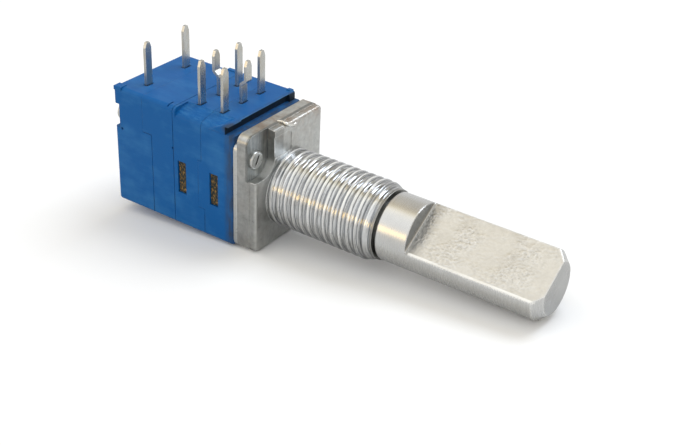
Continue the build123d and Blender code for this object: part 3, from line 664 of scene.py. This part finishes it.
        # Painted shade: the plate's left side face is darkened.
        on_side = graph.facing(self.side_facing).above(*self.side_turn) * on_plate
        grain = (mottle - 0.5) * (1 - on_thread * 0.6) + (tooling - 0.5) * on_thread
        colour = graph.shade(colour, 0.97 + grain * 0.8 - on_side * self.side_shade)
        # Painted highlight on the thread's crest lines, brighter towards the top.
        crest_highlights = tooling.contrast(*self.crest_contrast) * (0.2 + z.above(*self.crest_z) * 0.7)
        wear_and_highlight = graph.clamp(self.rubbed_and_highlighted(graph, on_thread) + on_crest * crest_highlights)
        # Painted highlights and wear: bright colour and less metal on edges, the recess's corner and the
        # crest lines.
        colour = graph.mix(wear_and_highlight * self.wear_and_highlight_share, colour, self.bright)
        roughness = self.plate_roughness + (mottle - 0.5) * 0.3
        roughness = roughness - on_thread * (self.plate_roughness - self.thread_roughness)
        height = (mottle * 0.6 + pits * 0.4) * on_plate * 0.4 + tooling * on_thread - on_ring * 0.3
        base = graph.around_shaft(on_thread * self.thread_smoothing, graph.rounded(self.edge_radius))
        return graph.surface({
            "Base Color": colour,
            "Metallic": 1 - wear_and_highlight * 0.6,
            "Roughness": roughness,
            "Normal": graph.bump(height, self.relief, base),
        })


@dataclass(frozen=True)
class TurnedSteel:
    """Plated shaft: fine turning lines on the round, a milled and speckled flat, painted highlights on
    its edges and along the flat's lower edge, and painted shade on the faces towards the tip.
    """

    metal: Colour = linear(222, 222, 220)
    bright: Colour = linear(252, 252, 249)
    flat_metal: Colour = linear(220, 219, 216)
    tarnish: Colour = linear(160, 158, 154)
    flat_angle: float = math.radians(121.5)
    flat_offset: float = SHAFT.high[1] / 2
    flat_start: float = SHAFT.high[0] - 12.17
    flat_reach: float = 2.6
    flat_softness: float = 0.02
    rim_width: float = 0.2
    rim_overlap: float = 0.05
    line_size: float = 0.06
    dimple_size: float = 0.24
    patch_size: float = 2.6
    cloud_size: float = 1.6
    glint_size: float = 1.3
    round_shaft: Point = (1, 0.03, 0.03)
    patch_contrast: Contrast = Contrast(5, 2.1)
    glint_contrast: Contrast = Contrast(3, 0.5)
    tarnish_contrast: Contrast = Contrast(2.4, 1.1)
    rim_contrast: Contrast = Contrast(3, 0.7)
    tarnish_share: float = 0.7
    wear_and_highlight_share: float = 0.9
    end_shade: float = 0.2
    dull_x: Step = Step(flat_start + 1.0, 1.0)
    wear_and_highlight_x: Step = Step(flat_start + 0.3, 0.1)
    end_facing: Point = (1, 0, 0)
    end_turn: Step = Step(0.8, 0.2)
    roughness: float = 0.27
    flat_roughness: float = 0.3
    relief: float = 0.05
    edge_radius: float = 0.2
    edge_reach: float = 0.24

    def on_flat(self, x: Value, lift: Value) -> Value:
        """Return 1 on the flat, where the height above the axis is that of the flat."""
        low, high = self.flat_offset - self.flat_softness, self.flat_offset + self.flat_softness
        return lift.within(low, high, self.flat_softness) * x.above(self.flat_start, self.flat_softness)

    def rim_highlight(self, slide: Value, lift: Value, cloud: Value) -> Value:
        """Return the share of painted highlight along the flat's lower long edge.

        Args:
            slide: The place across the flat.
            lift: The height above the axis, square to the flat.
            cloud: The pattern that breaks the line up.

        Returns:
            The share, from 0 to 1.
        """
        across = slide.within(self.flat_reach - self.rim_width, self.flat_reach + self.rim_overlap, 0.08)
        near_flat = lift.above(self.flat_offset - self.rim_width, 0.1)
        return across * near_flat * cloud.contrast(*self.rim_contrast)

    def material(self) -> bpy.types.Material:
        """Build the finish as a node tree.

        Returns:
            The finished material.
        """
        graph = Graph.of_material("turned_steel")
        x, y, z = graph.place()
        lift = y * math.cos(self.flat_angle) + z * math.sin(self.flat_angle)
        slide = -math.sin(self.flat_angle) * y + math.cos(self.flat_angle) * z
        on_flat = self.on_flat(x, lift)
        on_round = 1 - on_flat
        lines = graph.noise(self.line_size, 3, 0.6, self.round_shaft)
        dimples = graph.noise(self.dimple_size, 3, 0.5)
        patches = graph.noise(self.patch_size, 2, 0.5, shift=13).contrast(*self.patch_contrast)
        cloud = graph.noise(self.cloud_size, 3, 0.5, shift=9)
        glints = graph.noise(self.glint_size, 3, 0.7, shift=8).contrast(*self.glint_contrast)
        colour = graph.mix(on_flat, self.metal, self.flat_metal)
        dull = x.below(*self.dull_x) + cloud.contrast(*self.tarnish_contrast) * 0.6
        colour = graph.mix(graph.clamp(dull) * on_flat * self.tarnish_share, colour, self.tarnish)
        grain = (dimples - 0.5) * on_flat * (0.2 + patches * 0.5)
        marks = (lines - 0.5) * on_round * 0.03
        # Painted shade: the end face and the flat's end wall, which face the tip, are darkened.
        end_on = graph.facing(self.end_facing).above(*self.end_turn)
        shade = 0.95 + (cloud - 0.5) * 0.22 + grain + marks - end_on * self.end_shade
        colour = graph.shade(colour, shade)
        # Painted highlights: bright colour and less metal on the sharp edges and along the flat's lower
        # edge.
        wear_and_highlight = graph.clamp(graph.edge(self.edge_reach) * glints + self.rim_highlight(slide, lift, cloud))
        wear_and_highlight = wear_and_highlight * x.above(*self.wear_and_highlight_x)
        colour = graph.mix(wear_and_highlight * self.wear_and_highlight_share, colour, self.bright)
        roughness = self.roughness + (lines - 0.5) * 0.1
        roughness = roughness + on_flat * (self.flat_roughness - self.roughness)
        height = lines * on_round * 0.015 + dimples * on_flat * (0.25 + patches * 0.9)
        return graph.surface({
            "Base Color": colour,
            "Metallic": 1 - wear_and_highlight * 0.6,
            "Roughness": roughness,
            "Normal": graph.bump(height, self.relief, graph.rounded(self.edge_radius)),
        })


@dataclass(frozen=True)
class TinnedBrass:
    """Tinned pins: pale metal with a warm, uneven coat, and painted highlights on their edges."""

    tin: Colour = linear(206, 208, 207)
    warm: Colour = linear(192, 182, 158)
    bright: Colour = linear(250, 250, 247)
    blotch_size: float = 0.6
    line_size: float = 0.08
    warm_contrast: Contrast = Contrast(1.6, 0.5)
    wear_and_highlight_contrast: Contrast = Contrast(3, 0.9)
    wear_and_highlight_share: float = 0.8
    roughness: float = 0.28
    relief: float = 0.006
    edge_radius: float = 0.04
    edge_reach: float = 0.05

    def material(self) -> bpy.types.Material:
        """Build the finish as a node tree.

        Returns:
            The finished material.
        """
        graph = Graph.of_material("tinned_brass")
        blotch = graph.noise(self.blotch_size, 3, 0.6, (1, 1, 0.5))
        lines = graph.noise(self.line_size, 2, 0.5, (1, 1, 0.08), 2)
        colour = graph.mix(blotch.contrast(*self.warm_contrast), self.tin, self.warm)
        # Painted highlight along the sharp edges.
        wear_and_highlight = graph.edge(self.edge_reach) * blotch.contrast(*self.wear_and_highlight_contrast)
        colour = graph.mix(wear_and_highlight * self.wear_and_highlight_share, colour, self.bright)
        height = lines * 0.5 + blotch * 0.5
        return graph.surface({
            "Base Color": colour,
            "Metallic": 1 - wear_and_highlight * 0.4,
            "Roughness": self.roughness + (blotch - 0.5) * 0.2,
            "Normal": graph.bump(height, self.relief, graph.rounded(self.edge_radius)),
        })


@dataclass(frozen=True)
class SheetSteel:
    """Thin stamped steel and rivets, or the darker washer, with painted highlights on their edges."""

    name: str = "sheet_steel"
    metal: Colour = linear(204, 205, 202)
    roughness: float = 0.3
    bright: Colour = linear(250, 250, 247)
    mottle_size: float = 0.3
    wear_and_highlight_share: float = 0.8
    relief: float = 0.01
    edge_radius: float = 0.05
    edge_reach: float = 0.06

    def material(self) -> bpy.types.Material:
        """Build the finish as a node tree.

        Returns:
            The finished material.
        """
        graph = Graph.of_material(self.name)
        mottle = graph.noise(self.mottle_size, 4, 0.65)
        colour = graph.shade(self.metal, 0.8 + mottle * 0.34)
        # Painted highlight along the sharp edges.
        wear_and_highlight = graph.edge(self.edge_reach) * self.wear_and_highlight_share
        return graph.surface({
            "Base Color": graph.mix(wear_and_highlight, colour, self.bright),
            "Metallic": 1.0,
            "Roughness": self.roughness + (mottle - 0.5) * 0.2,
            "Normal": graph.bump(mottle, self.relief, graph.rounded(self.edge_radius)),
        })


@dataclass(frozen=True)
class Phenolic:
    """Brown laminated wafer with a speckled cut edge."""

    resin: Colour = linear(158, 122, 62)
    dark: Colour = linear(36, 44, 42)
    fleck_size: float = 0.22
    fleck_contrast: Contrast = Contrast(7, 3.48)
    roughness: float = 0.7
    gloss: float = 0.3
    relief: float = 0.05

    def material(self) -> bpy.types.Material:
        """Build the finish as a node tree.

        Returns:
            The finished material.
        """
        graph = Graph.of_material("phenolic")
        fleck = graph.noise(self.fleck_size, 4, 0.65, (1.4, 1, 0.8))
        return graph.surface({
            "Base Color": graph.mix(fleck.contrast(*self.fleck_contrast), self.dark, self.resin),
            "Roughness": self.roughness,
            "Specular IOR Level": self.gloss,
            "Normal": graph.bump(fleck, self.relief),
        })


@dataclass(frozen=True)
class PlainFinish:
    """One colour with a fine grain, for the small moulded, printed and sprung pieces."""

    name: str
    colour: Colour
    roughness: float = 0.5
    metallic: float = 0.0
    grain_size: float = 0.15
    relief: float = 0.006

    def material(self) -> bpy.types.Material:
        """Build the finish as a node tree.

        Returns:
            The finished material.
        """
        graph = Graph.of_material(self.name)
        grain = graph.noise(self.grain_size, 3, 0.6)
        return graph.surface({
            "Base Color": graph.shade(self.colour, 0.85 + grain * 0.3),
            "Metallic": self.metallic,
            "Roughness": self.roughness + (grain - 0.5) * 0.2,
            "Normal": graph.bump(grain, self.relief),
        })


class Finish(Enum):
    """The finishes of the part's pieces."""

    BLUE_MOULDING = BlueMoulding()
    CAST_ZINC = CastZinc()
    SHEET_STEEL = SheetSteel()
    TURNED_STEEL = TurnedSteel()
    TINNED_BRASS = TinnedBrass()
    PHENOLIC = Phenolic()
    SPRING_BRONZE = PlainFinish("spring_bronze", linear(196, 152, 96), 0.3, 1.0)
    CARBON_INK = PlainFinish("carbon_ink", linear(30, 30, 31), 0.55)
    SILVER_INK = PlainFinish("silver_ink", linear(190, 190, 188), 0.4, 1.0)
    ROTOR_PLASTIC = PlainFinish("rotor_plastic", linear(222, 219, 208), 0.5)
    WASHER_STEEL = SheetSteel("washer_steel", linear(150, 150, 147), 0.32)
    TORN_ZINC = PlainFinish("torn_zinc", linear(236, 234, 228), 0.22, 1.0)


@dataclass
class Wardrobe:
    """Makes each finish once and gives it to the pieces that wear it."""

    made: dict[Finish, bpy.types.Material] = field(default_factory=dict)

    def material(self, finish: Finish) -> bpy.types.Material:
        """Make a finish's material on its first use.

        Args:
            finish: The finish.

        Returns:
            Its material.
        """
        if finish not in self.made:
            self.made[finish] = finish.value.material()
        return self.made[finish]

    def dress(self, node: str, finish: Finish) -> None:
        """Give a node of the frame its finish.

        Args:
            node: The node's name.
            finish: The finish it wears.
        """
        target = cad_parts[node]
        for slot in target.material_slots:
            slot.material = self.material(finish)
        log.info("%s wears %s", node, finish.name.lower())


@dataclass
class SubAssembly:
    """A group of nodes of one sub-assembly, with the finish of each."""

    wardrobe: Wardrobe
    finishes: Mapping[str, Finish]

    def dress(self) -> None:
        """Dress every node of the group."""
        for node, finish in self.finishes.items():
            self.wardrobe.dress(node, finish)


@dataclass
class Case(SubAssembly):
    """The bushing, the ground plate, the four mouldings and the case rivets."""

    finishes: Mapping[str, Finish] = field(default_factory=lambda: {
        "bushing": Finish.CAST_ZINC,
        "ground_plate": Finish.SHEET_STEEL,
        "case_rivets": Finish.SHEET_STEEL,
        "front_housing": Finish.BLUE_MOULDING,
        "mid_housing": Finish.BLUE_MOULDING,
        "switch_housing": Finish.BLUE_MOULDING,
        "rear_housing": Finish.BLUE_MOULDING,
    })


@dataclass
class Gang(SubAssembly):
    """One resistive gang: wafer, track, collector, eyelets, terminals, rotor and wiper."""

    name: str = "front"
    finishes: Mapping[str, Finish] = field(default_factory=dict)

    def __post_init__(self) -> None:
        """List the gang's nodes with their finishes."""
        self.finishes = {
            f"{self.name}_wafer": Finish.PHENOLIC,
            f"{self.name}_resistive_track": Finish.CARBON_INK,
            f"{self.name}_collector_ring": Finish.SILVER_INK,
            f"{self.name}_eyelets": Finish.TINNED_BRASS,
            f"{self.name}_rotor": Finish.ROTOR_PLASTIC,
            f"{self.name}_wiper": Finish.SPRING_BRONZE,
            **{f"{self.name}_terminal_{number}": Finish.TINNED_BRASS for number in (1, 2, 3)},
        }


@dataclass
class RotarySwitch(SubAssembly):
    """The switch: its terminals, rotor and bridge."""

    finishes: Mapping[str, Finish] = field(default_factory=lambda: {
        "switch_terminal_1": Finish.TINNED_BRASS,
        "switch_terminal_2": Finish.TINNED_BRASS,
        "switch_rotor": Finish.ROTOR_PLASTIC,
        "switch_bridge": Finish.SPRING_BRONZE,
    })


@dataclass
class ShaftSet(SubAssembly):
    """The shaft, its washer and its retaining clip."""

    finishes: Mapping[str, Finish] = field(default_factory=lambda: {
        "shaft": Finish.TURNED_STEEL,
        "shaft_washer": Finish.WASHER_STEEL,
        "retaining_clip": Finish.SHEET_STEEL,
    })


@dataclass
class CastingBurr:
    """The torn curl of metal that lies on the plate's shelf behind the thread's root."""

    wardrobe: Wardrobe
    name: str = "casting_burr"
    radius: float = 0.15
    sides: int = 8
    steps: int = 6
    blunt_end: float = 0.08
    lump_height: float = 0.18
    lump_spacing: float = 2.3
    path: Sequence[Point] = (
        (-1.0, -0.5, 6.14),
        (-0.55, -0.4, 6.19),
        (-0.1, -0.45, 6.15),
        (0.05, -0.1, 5.94),
        (0.06, 0.28, 5.74),
        (0.05, 0.55, 5.72),
        (0.03, 0.85, 5.78),
    )

    def line(self) -> list[Vector]:
        """Draw a smooth curve through the path.

        Returns:
            The points of the curl's centre line, in millimetres.
        """
        ends = [self.path[0], *self.path, self.path[-1]]
        known = [Vector(point) for point in ends]
        line = []
        for before, start, end, after in zip(known, known[1:], known[2:], known[3:]):
            for step in range(self.steps):
                share = step / self.steps
                line.append(0.5 * (
                    2 * start
                    + (end - before) * share
                    + (2 * before - 5 * start + 4 * end - after) * share ** 2
                    + (3 * start - before - 3 * end + after) * share ** 3
                ))
        return [*line, known[-1]]

    def ring(
        self, mesh: bmesh.types.BMesh, line: Sequence[Vector], index: int,
    ) -> list[bmesh.types.BMVert]:
        """Add one ring of corners, lumpy and thinner towards the ends.

        Args:
            mesh: The mesh to add to.
            line: The points of the centre line.
            index: Which of them the ring goes round.

        Returns:
            The ring's corners in order.
        """
        last = len(line) - 1
        along = (line[min(index + 1, last)] - line[max(index - 1, 0)]).normalized()
        across = along.cross(Vector((0, 0, 1))).normalized()
        lift = across.cross(along)
        share = self.blunt_end + (1 - 2 * self.blunt_end) * index / last
        lump = 1 + self.lump_height * math.sin(index * self.lump_spacing)
        radius = self.radius * math.sin(math.pi * share) ** 0.5 * lump
        corners = []
        for side in range(self.sides):
            turn = 2 * math.pi * side / self.sides
            offset = across * math.cos(turn) + lift * math.sin(turn)
            corners.append(mesh.verts.new((line[index] + offset * radius) * MM))
        return corners

    def build(self) -> bpy.types.Object:
        """Join rings along the line into the curl.

        Returns:
            The curl's object.
        """
        line = self.line()
        mesh = bmesh.new()
        rings = [self.ring(mesh, line, index) for index in range(len(line))]
        for first, second in zip(rings, rings[1:]):
            for side in range(self.sides):
                after = (side + 1) % self.sides
                mesh.faces.new((first[side], first[after], second[after], second[side]))
        mesh.faces.new(rings[0][::-1])
        mesh.faces.new(rings[-1])
        for face in mesh.faces:
            face.smooth = True
        data = bpy.data.meshes.new(self.name)
        mesh.to_mesh(data)
        mesh.free()
        curl = bpy.data.objects.new(self.name, data)
        bpy.context.scene.collection.objects.link(curl)
        data.materials.append(self.wardrobe.material(Finish.TORN_ZINC))
        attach(curl, "case")
        log.info("%s is built", self.name)
        return curl


@dataclass(frozen=True)
class Lamp:
    """One rectangular lamp that points at the part."""

    name: str
    place: Point
    width: float
    height: float
    power: float
    colour: Colour = (1.0, 1.0, 1.0)
    target: Point = (5.0, 0.0, 0.0)

    def build(self) -> bpy.types.Object:
        """Add the lamp.

        Returns:
            The lamp's object.
        """
        data = bpy.data.lights.new(self.name, "AREA")
        data.shape = "RECTANGLE"
        data.size = self.width * MM
        data.size_y = self.height * MM
        data.energy = self.power
        data.color = self.colour
        lamp = bpy.data.objects.new(self.name, data)
        lamp.location = Vector(self.place) * MM
        aim = Vector(self.target) * MM - lamp.location
        lamp.rotation_euler = aim.to_track_quat("-Z", "Y").to_euler()
        bpy.context.scene.collection.objects.link(lamp)
        return lamp


@dataclass
class Studio:
    """The pale floor, the soft light and the camera at the photograph's view."""

    rest_edge_x: float = -0.3
    rest_edge_z: float = CASTING.low[2]
    rest_tip_x: float = SHAFT.high[0] - 0.65
    rest_tip_z: float = -SHAFT.high[1]
    floor_reach: float = 600.0
    paper: Colour = (0.69, 0.69, 0.69)
    paper_seen: Colour = (1.0, 1.0, 1.0)
    room_strength: float = 1.3
    room: Sequence[tuple[float, Colour]] = (
        (0.00, (0.62, 0.62, 0.62)),
        (0.12, (0.80, 0.80, 0.80)),
        (0.32, (0.83, 0.83, 0.82)),
        (0.43, (1.00, 0.97, 0.89)),
        (0.51, (0.80, 0.71, 0.53)),
        (0.57, (0.46, 0.40, 0.30)),
        (0.75, (0.40, 0.37, 0.32)),
        (1.00, (0.50, 0.49, 0.46)),
    )
    far_wall: Colour = (0.56, 0.56, 0.56)
    far_wall_across: Step = Step(0.3, 0.3)
    far_wall_up: Step = Step(0.4, 0.25)
    dark_ceiling: Colour = (0.34, 0.36, 0.38)
    ceiling_ahead: Step = Step(0.22, 0.25)
    ceiling_across: Step = Step(0.15, 0.3)
    ceiling_up: Step = Step(0.55, 0.25)
    lamps: Sequence[Lamp] = (
        Lamp("overhead", (44.0, 117.0, 229.0), 160.0, 160.0, 0.35, (0.80, 0.88, 1.0)),
        Lamp("warm_strip", (-188.0, -344.0, 75.0), 130.0, 80.0, 0.07, (1.0, 0.64, 0.16)),
    )
    camera_place: Point = (56.112, -75.843, 52.703)
    azimuth: float = 33.151
    elevation: float = 30.817
    roll: float = 2.870
    lens: float = 63.42
    sensor: float = 36.0
    nearest_seen: float = 1.0

    def add_floor(self) -> bpy.types.Object:
        """Add the floor, on which the plate's lower edge and the shaft's tip both rest.

        Returns:
            The floor's object.
        """
        slope = (self.rest_tip_z - self.rest_edge_z) / (self.rest_tip_x - self.rest_edge_x)
        reach = self.floor_reach
        corners = []
        for x, y in ((-reach, -reach), (reach, -reach), (reach, reach), (-reach, reach)):
            height = self.rest_edge_z + slope * (x - self.rest_edge_x)
            corners.append(Vector((x, y, height)) * MM)
        mesh = bpy.data.meshes.new("floor")
        mesh.from_pydata(corners, [], [(0, 1, 2, 3)])
        floor = bpy.data.objects.new("floor", mesh)
        bpy.context.scene.collection.objects.link(floor)
        mesh.materials.append(self.floor_material())
        return floor

    @staticmethod
    def seen(graph: Graph) -> Value:
        """Tell the rays that show a surface from those that light it.

        Args:
            graph: The tree of the floor's material or of the world.

        Returns:
            1 for rays straight from the camera or through glass, and 0 for the rest.
        """
        rays = graph.node("LightPath").outputs
        kinds = ("Camera", "Transmission")
        straight, through = (Value(graph, rays[f"Is {kind} Ray"]) for kind in kinds)
        return graph.math("MAXIMUM", straight, through)

    def floor_material(self) -> bpy.types.Material:
        """Build paper that shows nearly white and keeps its shadows.

        Returns:
            The floor's material.
        """
        graph = Graph.of_material("white_paper")
        colour = graph.mix(self.seen(graph), self.paper, self.paper_seen)
        shader = graph.node("BsdfDiffuse", None, {"Color": colour})
        return graph.close(shader.outputs[0])

    def add_world(self) -> None:
        """Add the room: cream light at the left, a dim back and ceiling, and white where it is seen."""
        world = bpy.data.worlds.new("light_tent")
        graph = Graph(world)
        direction = graph.node("TexCoord").outputs["Generated"]
        split = graph.node("SeparateXYZ", None, {0: direction}).outputs
        ahead, across, up = (Value(graph, socket) for socket in split)
        light = graph.node("ValToRGB", {"stops": self.room}, {0: across * 0.5 + 0.5}).outputs[0]
        wall = across.above(*self.far_wall_across) * up.below(*self.far_wall_up)
        light = graph.mix(wall, light, self.far_wall)
        ceiling = ahead.above(*self.ceiling_ahead) * across.below(*self.ceiling_across)
        light = graph.mix(ceiling * up.above(*self.ceiling_up), light, self.dark_ceiling)
        seen = self.seen(graph)
        colour = graph.mix(seen, light, (1.0, 1.0, 1.0))
        strength = self.room_strength - seen * (self.room_strength - 1)
        background = graph.node("Background", None, {"Color": colour, "Strength": strength})
        bpy.context.scene.world = graph.close(background.outputs[0])

    def add_camera(self) -> None:
        """Add the camera at the photograph's place, turn, roll and lens."""
        data = bpy.data.cameras.new("camera")
        data.lens = self.lens
        data.sensor_width = self.sensor
        data.clip_start = self.nearest_seen * MM
        camera = bpy.data.objects.new("camera", data)
        turn = Matrix.Rotation(math.radians(self.azimuth), 4, "Z")
        tilt = Matrix.Rotation(math.radians(90.0 - self.elevation), 4, "X")
        lean = Matrix.Rotation(math.radians(self.roll), 4, "Z")
        camera.matrix_world = Matrix.Translation(Vector(self.camera_place) * MM) @ turn @ tilt @ lean
        bpy.context.scene.collection.objects.link(camera)
        bpy.context.scene.camera = camera

    def build(self) -> None:
        """Add everything that isn't the part."""
        self.add_floor()
        self.add_world()
        for lamp in self.lamps:
            lamp.build()
        self.add_camera()
        bpy.context.scene.view_settings.view_transform = "Standard"
        log.info("studio is ready")


def main() -> None:
    """Build the studio and dress each sub-assembly in order."""
    logging.basicConfig(level=logging.INFO, format="%(name)s: %(message)s")
    wardrobe = Wardrobe()
    Studio().build()
    Case(wardrobe).dress()
    Gang(wardrobe, name="front").dress()
    Gang(wardrobe, name="rear").dress()
    RotarySwitch(wardrobe).dress()
    ShaftSet(wardrobe).dress()
    CastingBurr(wardrobe).build()


if __name__ == "__main__":
    main()
